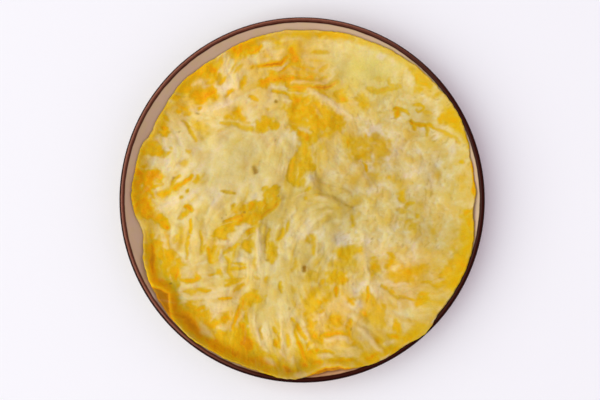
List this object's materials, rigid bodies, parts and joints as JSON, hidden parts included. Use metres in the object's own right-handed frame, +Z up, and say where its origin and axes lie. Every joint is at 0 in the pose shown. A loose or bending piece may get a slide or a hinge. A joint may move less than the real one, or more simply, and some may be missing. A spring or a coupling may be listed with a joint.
{
  "type": "flat omelette on a plate",
  "caption": "Thin round unfolded omelette of marbled white and yolk, lying in a shallow coupe plate with a dark banded lip.",
  "frame": {"origin": "middle of the plate, at the height of the flat underside of its foot ring", "axes": "+Z up out of the plate; +X to the right and +Y to the far side as the plate is looked down on"},
  "size_m": [0.26, 0.26, 0.0278],
  "materials": {
    "stoneware_glaze": "glazed stoneware, warm beige with a dark brown band on the lip",
    "cooked_egg": "moist satin cooked egg, cream white streaked with yellow yolk"
  },
  "bodies": {
    "root": {"plate": "stoneware_glaze", "omelette": "cooked_egg"}
  },
  "joints": []
}
